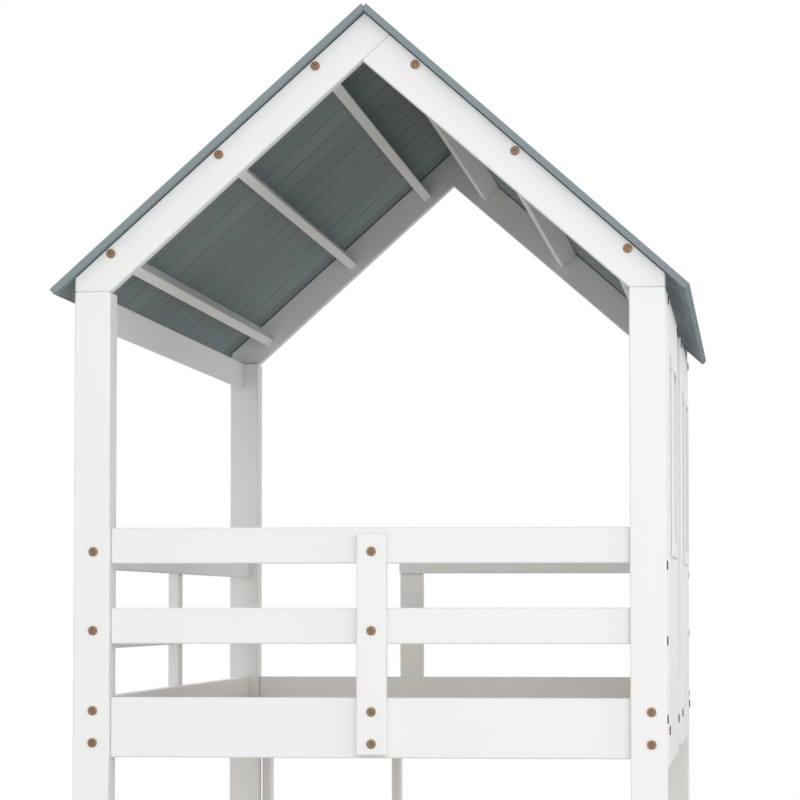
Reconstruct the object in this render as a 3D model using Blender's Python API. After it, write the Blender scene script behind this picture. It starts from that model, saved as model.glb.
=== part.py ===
"""Twin bunk bed with a house roof, window walls, an end ladder and a pull-out trundle.

X runs across the bed, Y along it and Z up. The gable end with full guard rails faces -Y,
the ladder end faces +Y, and the window walls and the trundle's front are on the +X side.
The origin is on the floor under the middle of the whole bed. All sizes are in metres.
"""
import math

import bmesh
import bpy
from mathutils import Matrix, Vector

# Posts
bed_width = 1.087
bed_length = 2.016
post_width = 0.066
post_depth = 0.073
post_height = 1.866

# Clearances and eased edges
fit_gap = 0.0003
edge_ease = 0.002
cut_overrun = 0.004

# Bed rails and guard rails
upper_rail_level = 1.010
lower_rail_level = 0.245
bed_rail_height = 0.110
guard_rail_height = 0.066
rail_thickness = 0.022
end_rail_recess = 0.020
side_rail_recess = 0.0255
mid_rail_gap = 0.098
top_rail_gap = 0.081
side_guard_drop = 0.010

# Battens that tie the guard rails together
batten_width = 0.055
batten_thickness = 0.022
batten_foot_inset = 0.006
batten_head_inset = 0.011
front_batten_shift = 0.007
side_batten_shift = 0.056
entry_width = 0.336

# Slatted bases
bearer_width = 0.024
bearer_height = 0.030
bearer_lift = 0.016
bearer_end_clearance = 0.012
slat_width = 0.065
slat_thickness = 0.014
slat_seat = 0.002
slat_inset = 0.001
slat_end_clearance = 0.002
slat_count = 13

# Eave beams and gables
eave_beam_height = 0.058
eave_beam_thickness = 0.016
rafter_thickness = 0.032
rafter_shoulder = 0.0265
ridge_rise = 0.512
ridge_shift = -0.006
ridge_seam_drop = 0.089
ridge_seam_shift = -0.005
back_rafter_inset = 0.0195

# Roof boards and purlins
roof_thickness = 0.012
roof_front_overhang = 0.020
roof_back_overhang = 0.028
eave_overhang = 0.036
roof_plank_count = 14
roof_groove_width = 0.004
roof_groove_depth = 0.0025
ridge_mitre_height = 0.0055
purlin_thickness = 0.020
purlin_depth = 0.046
purlin_station_shares = (0.178, 0.511, 0.884)

# Window walls on the +X side
wall_gap = 0.328
wall_height = 0.870
wall_thickness = 0.018
wall_proud = 0.002
wall_top_drop = 0.003
wall_side_clearance = 0.001
wall_edge_plank = 0.118
wall_groove_width = 0.005
wall_groove_depth = 0.003
wall_groove_count = 4
wall_top_rail = 0.040
wall_bottom_rail = 0.035
window_width = 0.270
window_height = 0.328
window_sill_height = 0.414
trim_thickness = 0.005
trim_side_width = 0.040
trim_head_height = 0.024
trim_sill_height = 0.027
trim_horn = 0.012
trim_edge_ease = 0.001

# Ladder under the entry
ladder_side_thickness = 0.020
ladder_side_depth = 0.058
ladder_post_clearance = 0.005
ladder_batten_clearance = 0.0005
ladder_head_drop = 0.010
ladder_foot_clearance = 0.001
rung_count = 4
rung_pitch = 0.205
rung_thickness = 0.022
rung_depth = 0.050
rung_housing = 0.006

# Trundle
trundle_width = 1.055
trundle_side_clearance = 0.004
trundle_front_height = 0.190
trundle_front_lift = 0.022
trundle_board_height = 0.140
trundle_board_lift = 0.030
trundle_board_thickness = 0.018
trundle_end_inset = 0.002
trundle_bearer_width = 0.046
trundle_bearer_height = 0.022
trundle_slat_count = 12
grip_width = 0.110
grip_depth = 0.028
grip_spacing = 0.900
grip_steps = 8

# Casters
caster_height = 0.052
caster_end_distance = 0.120
fork_plate_length = 0.040
fork_plate_width = 0.042
fork_plate_thickness = 0.0025
fork_leg_thickness = 0.002
fork_leg_top = 0.030
fork_leg_round = 0.007
fork_leg_steps = 6
fork_wheel_clearance = 0.001
axle_radius = 0.003
axle_head_radius = 0.005
axle_head_height = 0.0015
axle_sides = 12
wheel_radius = 0.020
wheel_width = 0.018
wheel_shoulder = 0.003
wheel_hub_radius = 0.010
wheel_hub_recess = 0.002
wheel_bore_clearance = 0.0005
wheel_steps = 24

# Dowels glued into one piece and let into the next
dowel_radius = 0.004
dowel_sides = 6
dowel_root = 0.018
dowel_reach = 0.018
board_dowel_reach = 0.010
dowel_clearance = 0.0005
guard_dowel_drop = 0.020
purlin_dowel_drop = 0.030

# Finishes as colour, roughness and metallic value
finishes = {
    "white_paint": ((0.86, 0.86, 0.85), 0.45, 0.0),
    "roof_paint": ((0.27, 0.31, 0.32), 0.50, 0.0),
    "bare_pine": ((0.72, 0.56, 0.38), 0.60, 0.0),
    "zinc": ((0.62, 0.63, 0.65), 0.35, 0.95),
    "grey_tyre": ((0.12, 0.12, 0.13), 0.70, 0.0),
}

# Places that many pieces share
post_out_x = bed_width / 2
post_in_x = post_out_x - post_width
rail_end_x = post_in_x - fit_gap
front_reach = roof_front_overhang
back_reach = ladder_side_depth - end_rail_recess + fit_gap
bed_front_y = (front_reach - back_reach - bed_length) / 2
bed_back_y = bed_front_y + bed_length
bed_middle_y = bed_front_y + bed_length / 2
post_inner_front_y = bed_front_y + post_depth
post_inner_back_y = bed_back_y - post_depth
mid_rail_level = upper_rail_level + bed_rail_height + mid_rail_gap
top_rail_level = mid_rail_level + guard_rail_height + top_rail_gap
guard_dowel_lift = guard_rail_height / 2 - guard_dowel_drop
ends = {"front": (bed_front_y, 1), "back": (bed_back_y, -1)}
sides = {"left": -1, "right": 1}

wall_width = (bed_length - wall_gap) / 2 - post_depth - wall_side_clearance
wall_groove_pitch = (wall_width - 2 * wall_edge_plank) / (wall_groove_count - 1)

# The right-hand upper rail and both eave beams lie flat against the window walls' backs
wall_backing_recess = wall_thickness - wall_proud + fit_gap
upper_rail_recess = {"left": side_rail_recess, "right": wall_backing_recess}
lower_rail_recess = {"left": side_rail_recess, "right": side_rail_recess}

pegs = {}
sockets = {}


def remove_all_objects():
    for thing in list(bpy.data.objects):
        bpy.data.objects.remove(thing)


def coat(piece, finish):
    """Give a piece its own Principled material."""
    colour, roughness, metallic = finishes[finish]
    material = bpy.data.materials.new(piece.name + "_" + finish)
    material.use_nodes = True
    shader = material.node_tree.nodes["Principled BSDF"]
    shader.inputs["Base Color"].default_value = (*colour, 1)
    shader.inputs["Roughness"].default_value = roughness
    shader.inputs["Metallic"].default_value = metallic
    piece.data.materials.append(material)


def piece_from(name, shape, finish, location=(0, 0, 0)):
    """Turn a finished bmesh into a named object."""
    bmesh.ops.recalc_face_normals(shape, faces=shape.faces)
    mesh = bpy.data.meshes.new(name)
    shape.to_mesh(mesh)
    shape.free()
    piece = bpy.data.objects.new(name, mesh)
    piece.location = location
    bpy.context.scene.collection.objects.link(piece)
    coat(piece, finish)
    return piece


def cutter_from(name, shape):
    """Keep a cutting or joining shape in the scene as a hidden wire guide."""
    bmesh.ops.recalc_face_normals(shape, faces=shape.faces)
    mesh = bpy.data.meshes.new(name)
    shape.to_mesh(mesh)
    shape.free()
    cutter = bpy.data.objects.new(name, mesh)
    cutter.hide_render = True
    cutter.display_type = "WIRE"
    bpy.context.scene.collection.objects.link(cutter)
    return cutter


def cut(piece, cutter, operation="DIFFERENCE"):
    boolean = piece.modifiers.new(cutter.name, "BOOLEAN")
    boolean.operation = operation
    boolean.solver = "EXACT"
    boolean.object = cutter


def ease_edges(shape, verts, width):
    edges = list({edge for vert in verts for edge in vert.link_edges})
    bmesh.ops.bevel(shape, geom=edges, offset=width, segments=1, affect="EDGES")


def corners(x, y, z):
    low = Vector((min(x), min(y), min(z)))
    high = Vector((max(x), max(y), max(z)))
    return low, high


def add_box(shape, low, high, ease=0):
    """Add one rectangular board between two corners, its edges eased."""
    size = high - low
    place = Matrix.Translation((low + high) / 2) @ Matrix.Diagonal((*size, 1))
    verts = bmesh.ops.create_cube(shape, size=1, matrix=place)["verts"]
    if ease:
        ease_edges(shape, verts, ease)


def board(name, x, y, z, finish="white_paint", ease=edge_ease):
    """One board that spans a pair of places on each axis, its origin at the board's middle."""
    low, high = corners(x, y, z)
    middle = (low + high) / 2
    shape = bmesh.new()
    add_box(shape, low - middle, high - middle, ease)
    return piece_from(name, shape, finish, middle)


def add_extrusion(shape, outline, start, travel, ease=0):
    """Sweep a closed outline of points along a travel vector into a solid."""
    face = shape.faces.new([shape.verts.new(Vector(point) + start) for point in outline])
    near_verts = list(face.verts)
    swept = bmesh.ops.extrude_face_region(shape, geom=[face])["geom"]
    far_verts = [item for item in swept if isinstance(item, bmesh.types.BMVert)]
    bmesh.ops.translate(shape, vec=travel, verts=far_verts)
    if ease:
        ease_edges(shape, near_verts + far_verts, ease)


def extruded(name, outline, start, travel, ease=0):
    """One painted piece swept from a closed outline."""
    shape = bmesh.new()
    add_extrusion(shape, outline, start, travel, ease)
    return piece_from(name, shape, "white_paint")


def along(direction):
    """Rotation that turns +Z to a direction."""
    return Vector(direction).to_track_quat("Z", "Y").to_matrix().to_4x4()


def add_rod(shape, start, direction, length, radius, sides_round):
    """Add a faceted rod that starts at a point and runs along a direction."""
    place = Matrix.Translation(start + direction * length / 2) @ along(direction)
    bmesh.ops.create_cone(shape, cap_ends=True, segments=sides_round, radius1=radius,
                          radius2=radius, depth=length, matrix=place)


def dowel(owner, host, seam, direction, reach=dowel_reach):
    """Note a dowel glued into one piece that stands out through a seam into a bore."""
    place = (Vector(seam), Vector(direction), reach)
    pegs.setdefault(owner, []).append(place)
    sockets.setdefault(host, []).append(place)


def fit_dowels():
    """Join each piece's dowels to it, and bore the pieces that take them."""
    for name, places in pegs.items():
        shape = bmesh.new()
        for seam, direction, reach in places:
            add_rod(shape, seam - direction * dowel_root, direction, dowel_root + reach,
                    dowel_radius, dowel_sides)
        cut(bpy.data.objects[name], cutter_from(name + "_dowels", shape), "UNION")
    for name, places in sockets.items():
        shape = bmesh.new()
        for seam, direction, reach in places:
            add_rod(shape, seam - direction * cut_overrun, direction,
                    cut_overrun + reach + dowel_clearance, dowel_radius + dowel_clearance,
                    dowel_sides)
        cut(bpy.data.objects[name], cutter_from(name + "_bores", shape))


# Posts

def make_posts():
    for end, (face_y, inward) in ends.items():
        for side, sign in sides.items():
            board("post_" + end + "_" + side, (sign * post_out_x, sign * post_in_x),
                  (face_y, face_y + inward * post_depth), (0, post_height))


# Rails and battens

def end_rail(name, end, bottom, height, dowel_lift, open_from=None):
    """A rail across one end behind the post faces, doweled to the posts that it meets."""
    face_y, inward = ends[end]
    outer = face_y + inward * end_rail_recess
    start = -rail_end_x if open_from is None else open_from
    board(name, (start, rail_end_x), (outer, outer + inward * rail_thickness),
          (bottom, bottom + height))
    middle_y = outer + inward * rail_thickness / 2
    for side, sign in sides.items():
        if open_from is None or side == "right":
            dowel(name, "post_" + end + "_" + side,
                  (sign * post_in_x, middle_y, bottom + dowel_lift), (sign, 0, 0))


def side_rail(name, side, recess, bottom, height, dowel_lift):
    """A rail along one side between the posts, doweled to both."""
    outer = sides[side] * (post_out_x - recess)
    inner = outer - sides[side] * rail_thickness
    board(name, (outer, inner), (post_inner_front_y + fit_gap, post_inner_back_y - fit_gap),
          (bottom, bottom + height))
    middle_x = (outer + inner) / 2
    level = bottom + dowel_lift
    dowel(name, "post_front_" + side, (middle_x, post_inner_front_y, level), (0, -1, 0))
    dowel(name, "post_back_" + side, (middle_x, post_inner_back_y, level), (0, 1, 0))


def end_batten(name, end, low_x):
    """An upright batten on the outside of the end rails."""
    face_y, inward = ends[end]
    seat = face_y + inward * (end_rail_recess - fit_gap)
    board(name, (low_x, low_x + batten_width), (seat - inward * batten_thickness, seat),
          (upper_rail_level + batten_foot_inset,
           top_rail_level + guard_rail_height - batten_head_inset))


def make_upper_ends():
    """The guard is full at the front; at the back it leaves the ladder's entry open."""
    entry_edge = -post_in_x + entry_width
    for end, open_from in (("front", None), ("back", entry_edge)):
        stem = "upper_" + end
        end_rail(stem + "_bed_rail", end, upper_rail_level, bed_rail_height, bed_rail_height / 2)
        end_rail(stem + "_mid_rail", end, mid_rail_level, guard_rail_height, guard_dowel_lift,
                 open_from)
        end_rail(stem + "_top_rail", end, top_rail_level, guard_rail_height, guard_dowel_lift,
                 open_from)
    end_batten("upper_front_batten", "front", front_batten_shift - batten_width / 2)
    end_batten("upper_back_batten", "back", entry_edge)


def make_upper_sides():
    """Guard rails on the left side only; the window walls guard the right."""
    for side, recess in upper_rail_recess.items():
        side_rail("upper_" + side + "_bed_rail", side, recess, upper_rail_level,
                  bed_rail_height, bed_rail_height / 2)
    mid_level = mid_rail_level - side_guard_drop
    top_level = top_rail_level - side_guard_drop
    side_rail("upper_left_mid_rail", "left", side_rail_recess, mid_level, guard_rail_height,
              guard_dowel_lift)
    side_rail("upper_left_top_rail", "left", side_rail_recess, top_level, guard_rail_height,
              guard_dowel_lift)
    seat = -(post_out_x - side_rail_recess) - fit_gap
    middle = bed_middle_y + side_batten_shift
    board("upper_left_batten", (seat - batten_thickness, seat),
          (middle - batten_width / 2, middle + batten_width / 2),
          (upper_rail_level + batten_foot_inset,
           top_level + guard_rail_height - batten_head_inset))


def make_lower_rails():
    """Bed rails on all four sides of the lower bunk."""
    for side, recess in lower_rail_recess.items():
        side_rail("lower_" + side + "_bed_rail", side, recess, lower_rail_level,
                  bed_rail_height, bed_rail_height / 2)
    for end in ends:
        end_rail("lower_" + end + "_bed_rail", end, lower_rail_level, bed_rail_height,
                 bed_rail_height / 2)


# Slatted bases

def slatted_base(name, bearer_x_spans, slat_x_span, y_span, bearer_z_span, count):
    """Slats let a little way into two bearers and glued there, as one piece."""
    shape = bmesh.new()
    for x_span in bearer_x_spans:
        add_box(shape, *corners(x_span, y_span, bearer_z_span))
    base = piece_from(name, shape, "bare_pine")
    bottom = max(bearer_z_span) - slat_seat
    first = min(y_span) + slat_inset
    pitch = (max(y_span) - slat_inset - slat_width - first) / (count - 1)
    shape = bmesh.new()
    for index in range(count):
        low_y = first + index * pitch
        add_box(shape, *corners(slat_x_span, (low_y, low_y + slat_width),
                                (bottom, bottom + slat_thickness)))
    cut(base, cutter_from(name + "_slats", shape), "UNION")


def make_bunk_base(prefix, level, recesses):
    """The bearers lie along the inner faces of the side rails."""
    bottom = level + bearer_lift
    bearers = []
    slat_ends = []
    for side, sign in sides.items():
        inner = sign * (post_out_x - recesses[side] - rail_thickness)
        seat = inner - sign * fit_gap
        bearers.append((seat, seat - sign * bearer_width))
        slat_ends.append(inner - sign * slat_end_clearance)
    y_span = (post_inner_front_y + bearer_end_clearance, post_inner_back_y - bearer_end_clearance)
    slatted_base(prefix + "_slatted_base", bearers, slat_ends, y_span,
                 (bottom, bottom + bearer_height), slat_count)


# Gables: two rafters meet at the ridge, the left one running through

ridge = Vector((ridge_shift, 0, post_height + ridge_rise))
seam_foot = Vector((ridge_shift + ridge_seam_shift, 0, ridge.z - ridge_seam_drop))


def shoulder(side):
    return Vector((sides[side] * post_out_x, 0, post_height + rafter_shoulder))


def foot(side, x):
    return Vector((sides[side] * x, 0, post_height + fit_gap))


def crossing(first, first_way, second, second_way):
    """Where two lines in the gable's plane cross."""
    gap = second - first
    scale = first_way.x * second_way.z - first_way.z * second_way.x
    return first + first_way * (gap.x * second_way.z - gap.z * second_way.x) / scale


def slope_way(side):
    """Unit vector down the roof's slope on one side."""
    return (shoulder(side) - ridge).normalized()


def slope_out(side):
    """Unit vector square to the slope, pointing up and out."""
    way = slope_way(side)
    return Vector((-way.z, 0, way.x)) * sides[side]


def slope_point(side, station, lift):
    """A point by its distance down the slope and its height square above the rafters."""
    return ridge + slope_way(side) * station + slope_out(side) * lift


def rafter_faces():
    """Outer face and inward direction of each gable's rafters."""
    return {"front": (bed_front_y, 1), "back": (bed_back_y - back_rafter_inset, -1)}


def make_gables():
    """The left rafter's lower edge runs on as the seam that the right one butts against."""
    left_inner = foot("left", post_in_x)
    right_inner = foot("right", post_in_x)
    seam_way = (seam_foot - left_inner).normalized()
    seam_square = Vector((seam_way.z, 0, -seam_way.x))
    seam_top = crossing(left_inner, seam_way, ridge, slope_way("right"))
    seam_middle = (seam_foot + seam_top) / 2
    right_seam = left_inner + seam_square * fit_gap
    right_way = (seam_foot - right_inner).normalized()
    outlines = {
        "left": [foot("left", post_out_x), shoulder("left"), ridge, seam_top, left_inner],
        "right": [crossing(right_seam, seam_way, ridge, slope_way("right")), shoulder("right"),
                  foot("right", post_out_x), right_inner,
                  crossing(right_seam, seam_way, right_inner, right_way)],
    }
    for end, (face_y, inward) in rafter_faces().items():
        middle_y = face_y + inward * rafter_thickness / 2
        for side, outline in outlines.items():
            name = "rafter_" + end + "_" + side
            extruded(name, outline, Vector((0, face_y, 0)),
                     Vector((0, inward * rafter_thickness, 0)), edge_ease)
            x = sides[side] * (post_in_x + post_width / 2)
            dowel(name, "post_" + end + "_" + side, (x, middle_y, post_height), (0, 0, -1))
        dowel("rafter_" + end + "_left", "rafter_" + end + "_right",
              seam_middle + Vector((0, middle_y, 0)), seam_square)


def make_eave_beams():
    """Beams between the post heads."""
    outer = post_out_x - wall_backing_recess
    bottom = post_height - eave_beam_height
    middle_x = outer - eave_beam_thickness / 2
    level = bottom + eave_beam_height / 2
    for side, sign in sides.items():
        name = "eave_beam_" + side
        board(name, (sign * outer, sign * (outer - eave_beam_thickness)),
              (post_inner_front_y + fit_gap, post_inner_back_y - fit_gap), (bottom, post_height))
        dowel(name, "post_front_" + side, (sign * middle_x, post_inner_front_y, level),
              (0, -1, 0))
        dowel(name, "post_back_" + side, (sign * middle_x, post_inner_back_y, level), (0, 1, 0))


def make_purlins():
    """Three boards on edge under each slope, between the rafters' inner faces."""
    gables = rafter_faces()
    seams = {end: face_y + inward * rafter_thickness for end, (face_y, inward) in gables.items()}
    start_y = seams["front"] + fit_gap
    end_y = seams["back"] - fit_gap
    half = purlin_thickness / 2
    for side in sides:
        slope_length = (shoulder(side) - ridge).length
        for number, share in enumerate(purlin_station_shares, 1):
            station = slope_length * share
            name = "purlin_" + side + "_" + str(number)
            outline = [slope_point(side, station - half, 0),
                       slope_point(side, station + half, 0),
                       slope_point(side, station + half, -purlin_depth),
                       slope_point(side, station - half, -purlin_depth)]
            extruded(name, outline, Vector((0, start_y, 0)), Vector((0, end_y - start_y, 0)),
                     edge_ease)
            for end, (face_y, inward) in gables.items():
                seam = slope_point(side, station, -purlin_dowel_drop)
                seam.y = seams[end]
                dowel(name, "rafter_" + end + "_" + side, seam, (0, -inward, 0))


def roof_section(start_y, length):
    """The board's section along Y, with a V groove on both faces between planks."""
    plank = length / roof_plank_count
    half = roof_groove_width / 2
    lower = [(start_y, 0)]
    for index in range(1, roof_plank_count):
        middle = start_y + index * plank
        lower += [(middle - half, 0), (middle, roof_groove_depth), (middle + half, 0)]
    lower.append((start_y + length, 0))
    return lower + [(y, roof_thickness - lift) for y, lift in reversed(lower)]


def ridge_notch(start_y, length):
    """The wedge over the ridge that leaves each board's end square above a short mitre."""
    rise = (ridge_mitre_height + fit_gap) / abs(slope_way("left").x)
    bottom = ridge + Vector((0, 0, rise))
    reach = roof_thickness + cut_overrun
    outline = [bottom] + [bottom + slope_out(side) * reach for side in sides]
    shape = bmesh.new()
    add_extrusion(shape, outline, Vector((0, start_y - cut_overrun, 0)),
                  Vector((0, length + 2 * cut_overrun, 0)))
    return cutter_from("ridge_notch", shape)


def make_roof():
    """Grooved boards from ridge to eave, with a short mitre where they meet at the ridge."""
    gables = rafter_faces()
    start_y = gables["front"][0] - roof_front_overhang
    length = gables["back"][0] + roof_back_overhang - start_y
    section = roof_section(start_y, length)
    notch = ridge_notch(start_y, length)
    for side in sides:
        way = slope_way(side)
        out = slope_out(side)
        eave_station = (shoulder(side) - ridge).length + eave_overhang / abs(way.x)
        shape = bmesh.new()
        ridge_row = []
        eave_row = []
        for y, lift in section:
            height = lift + fit_gap
            mitre_station = (fit_gap - height * abs(out.x)) / abs(way.x)
            for row, station in ((ridge_row, mitre_station), (eave_row, eave_station)):
                point = slope_point(side, station, height)
                point.y = y
                row.append(shape.verts.new(point))
        shape.faces.new(ridge_row)
        shape.faces.new(eave_row)
        for index, vert in enumerate(ridge_row):
            after = (index + 1) % len(section)
            shape.faces.new((vert, ridge_row[after], eave_row[after], eave_row[index]))
        cut(piece_from("roof_board_" + side, shape, "roof_paint"), notch)


# Window walls

def add_wall_groove(shape, face, middle_y, low_z, high_z):
    """A stopped V groove in the outer face of a wall."""
    half = wall_groove_width / 2
    overrun_half = half * (wall_groove_depth + cut_overrun) / wall_groove_depth
    section = [(face - wall_groove_depth, middle_y, low_z),
               (face + cut_overrun, middle_y - overrun_half, low_z),
               (face + cut_overrun, middle_y + overrun_half, low_z)]
    add_extrusion(shape, section, Vector(), Vector((0, 0, high_z - low_z)))


def trim_outline(middle_y, sill):
    """Outline of the window's trim: side casings between a longer sill and head."""
    outer = window_width / 2 + trim_side_width
    horn = outer + trim_horn
    head = sill + window_height
    half = [(horn, sill - trim_sill_height), (horn, sill), (outer, sill), (outer, head),
            (horn, head), (horn, head + trim_head_height)]
    outline = half + [(-reach, level) for reach, level in reversed(half)]
    return [(0, middle_y + reach, level) for reach, level in outline]


def make_window_walls():
    """Two grooved panels on the outside of the right eave beam and bed rail."""
    face = post_out_x + wall_proud
    back = face - wall_thickness
    top = post_height - wall_top_drop
    bottom = top - wall_height
    sill = bottom + window_sill_height
    starts = {"front": post_inner_front_y + wall_side_clearance,
              "back": post_inner_back_y - wall_side_clearance - wall_width}
    for end, start_y in starts.items():
        middle_y = start_y + wall_width / 2
        wall = board("window_wall_" + end, (back, face), (start_y, start_y + wall_width),
                     (bottom, top))
        trim = extruded("window_trim_" + end, trim_outline(middle_y, sill),
                        Vector((face + fit_gap, 0, 0)), Vector((trim_thickness, 0, 0)),
                        trim_edge_ease)

        shape = bmesh.new()
        half = window_width / 2
        add_box(shape, *corners((back - cut_overrun, face + trim_thickness + cut_overrun),
                                (middle_y - half, middle_y + half),
                                (sill, sill + window_height)))
        opening = cutter_from("window_opening_" + end, shape)
        cut(wall, opening)
        cut(trim, opening)

        shape = bmesh.new()
        first = middle_y - wall_groove_pitch * (wall_groove_count - 1) / 2
        for index in range(wall_groove_count):
            add_wall_groove(shape, face, first + index * wall_groove_pitch,
                            bottom + wall_bottom_rail, top - wall_top_rail)
        cut(wall, cutter_from("window_wall_grooves_" + end, shape))


# Ladder

def make_ladder():
    """Two sides against the back rails, with rungs let into housings."""
    inner_y = bed_back_y - end_rail_recess + fit_gap
    outer_y = inner_y + ladder_side_depth
    middle_y = (inner_y + outer_y) / 2
    top = upper_rail_level + bed_rail_height - ladder_head_drop
    left = -post_in_x + ladder_post_clearance
    right = -post_in_x + entry_width - ladder_batten_clearance
    side_spans = {"left": (left, left + ladder_side_thickness),
                  "right": (right - ladder_side_thickness, right)}
    rung_x = (side_spans["left"][1] - rung_housing, side_spans["right"][0] + rung_housing)
    rung_y = (middle_y - rung_depth / 2, middle_y + rung_depth / 2)
    grow = Vector((fit_gap, fit_gap, fit_gap))
    shape = bmesh.new()
    for number in range(1, rung_count + 1):
        rung_z = (number * rung_pitch - rung_thickness, number * rung_pitch)
        board("ladder_rung_" + str(number), rung_x, rung_y, rung_z)
        low, high = corners(rung_x, rung_y, rung_z)
        add_box(shape, low - grow, high + grow, edge_ease)
    housings = cutter_from("ladder_rung_housings", shape)
    for side, x_span in side_spans.items():
        cut(board("ladder_side_" + side, x_span, (inner_y, outer_y),
                  (ladder_foot_clearance, top)), housings)


# Trundle: its front board is on the bed's right side, and it rolls out towards +X

trundle_front_x = post_out_x
trundle_front_inner = trundle_front_x - trundle_board_thickness
trundle_back_x = trundle_front_x - trundle_width
trundle_back_inner = trundle_back_x + trundle_board_thickness
trundle_half_length = bed_length / 2 - post_depth - trundle_side_clearance
trundle_bearer_spans = {
    "right": (trundle_front_inner - fit_gap - trundle_bearer_width,
              trundle_front_inner - fit_gap),
    "left": (trundle_back_inner + fit_gap,
             trundle_back_inner + fit_gap + trundle_bearer_width),
}


def grip_notch(middle, top):
    """Points of one finger notch: a half ellipse dipping below the top edge."""
    points = []
    for step in range(grip_steps + 1):
        turn = math.pi * step / grip_steps
        points.append((middle + math.cos(turn) * grip_width / 2,
                       top - math.sin(turn) * grip_depth))
    return points


def make_trundle_box():
    """Front board with two finger notches, plain back board, and an end board at each end."""
    top = trundle_front_lift + trundle_front_height
    half = trundle_half_length
    outline = [(-half, trundle_front_lift), (half, trundle_front_lift), (half, top)]
    outline += grip_notch(grip_spacing / 2, top) + grip_notch(-grip_spacing / 2, top)
    outline.append((-half, top))
    extruded("trundle_front_board", [(0, y, z) for y, z in outline],
             Vector((trundle_front_x, bed_middle_y, 0)),
             Vector((-trundle_board_thickness, 0, 0)))
    z_span = (trundle_board_lift, trundle_board_lift + trundle_board_height)
    board("trundle_back_board", (trundle_back_x, trundle_back_inner),
          (bed_middle_y - half, bed_middle_y + half), z_span)
    outer = half - trundle_end_inset
    level = sum(z_span) / 2
    for end, way in (("front", -1), ("back", 1)):
        name = "trundle_end_board_" + end
        y_span = (bed_middle_y + way * outer,
                  bed_middle_y + way * (outer - trundle_board_thickness))
        board(name, (trundle_back_inner + fit_gap, trundle_front_inner - fit_gap), y_span, z_span)
        middle_y = sum(y_span) / 2
        dowel(name, "trundle_front_board", (trundle_front_inner, middle_y, level), (1, 0, 0),
              board_dowel_reach)
        dowel(name, "trundle_back_board", (trundle_back_inner, middle_y, level), (-1, 0, 0),
              board_dowel_reach)


def make_trundle_base():
    """Wide bearers carry the trundle's slats and take the casters below."""
    inner = trundle_half_length - trundle_end_inset - trundle_board_thickness - fit_gap
    slat_x_span = (trundle_back_inner + slat_end_clearance,
                   trundle_front_inner - slat_end_clearance)
    slatted_base("trundle_slatted_base", trundle_bearer_spans.values(), slat_x_span,
                 (bed_middle_y - inner, bed_middle_y + inner),
                 (caster_height, caster_height + trundle_bearer_height), trundle_slat_count)


# Casters

def caster_places():
    """Middle of each axle, under the ends of the trundle's bearers."""
    places = {}
    for side, x_span in trundle_bearer_spans.items():
        for end, way in (("front", -1), ("back", 1)):
            y = bed_middle_y + way * (trundle_half_length - caster_end_distance)
            places[end + "_" + side] = Vector((sum(x_span) / 2, y, wheel_radius))
    return places


def leg_outline(top):
    """A fork leg about its axle: wide at the plate, round below."""
    points = [(fork_leg_top / 2, 0, top), (-fork_leg_top / 2, 0, top)]
    for step in range(fork_leg_steps + 1):
        turn = math.pi + math.pi * step / fork_leg_steps
        points.append((math.cos(turn) * fork_leg_round, 0, math.sin(turn) * fork_leg_round))
    return points


def make_caster_forks():
    """Each fork is a top plate, two legs and a riveted axle, joined for good."""
    leg_inner = wheel_width / 2 + fork_wheel_clearance
    leg_outer = leg_inner + fork_leg_thickness
    plate_top = caster_height - fit_gap - wheel_radius
    for place, axle in caster_places().items():
        name = "caster_fork_" + place
        shape = bmesh.new()
        half_x = fork_plate_length / 2
        half_y = fork_plate_width / 2
        add_box(shape, *corners((-half_x, half_x), (-half_y, half_y),
                                (plate_top - fork_plate_thickness, plate_top)))
        fork = piece_from(name, shape, "zinc", axle)

        legs = bmesh.new()
        rods = bmesh.new()
        leg_top = plate_top - fork_plate_thickness / 2
        for way in (-1, 1):
            add_extrusion(legs, leg_outline(leg_top), axle + Vector((0, way * leg_inner, 0)),
                          Vector((0, way * fork_leg_thickness, 0)))
            across = Vector((0, way, 0))
            head_root = fork_leg_thickness / 2
            add_rod(rods, axle + across * (leg_outer - head_root), across,
                    head_root + axle_head_height, axle_head_radius, axle_sides)
        shaft_half = leg_outer + axle_head_height / 2
        add_rod(rods, axle - Vector((0, shaft_half, 0)), Vector((0, 1, 0)), 2 * shaft_half,
                axle_radius, axle_sides)
        cut(fork, cutter_from(name + "_legs", legs), "UNION")
        cut(fork, cutter_from(name + "_axle", rods), "UNION")


def wheel_section():
    """Half section of a wheel as (radius, place along the axle), both faces dished."""
    half = wheel_width / 2
    hub = half - wheel_hub_recess
    bore_radius = axle_radius + wheel_bore_clearance
    upper = [(bore_radius, hub), (wheel_hub_radius, hub),
             (wheel_hub_radius + wheel_hub_recess, half), (wheel_radius - wheel_shoulder, half),
             (wheel_radius, half - wheel_shoulder)]
    return upper + [(radius, -place) for radius, place in reversed(upper)]


def make_wheels():
    """One turned wheel in each fork, its origin on the axle."""
    for place, axle in caster_places().items():
        shape = bmesh.new()
        verts = [shape.verts.new((radius, across, 0)) for radius, across in wheel_section()]
        edges = [shape.edges.new((vert, verts[(index + 1) % len(verts)]))
                 for index, vert in enumerate(verts)]
        bmesh.ops.spin(shape, geom=verts + edges, cent=(0, 0, 0), axis=(0, 1, 0),
                       angle=2 * math.pi, steps=wheel_steps, use_merge=True)
        wheel = piece_from("caster_wheel_" + place, shape, "grey_tyre", axle)
        wheel.data.shade_smooth()
        wheel.data.set_sharp_from_angle(angle=math.radians(30))


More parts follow.
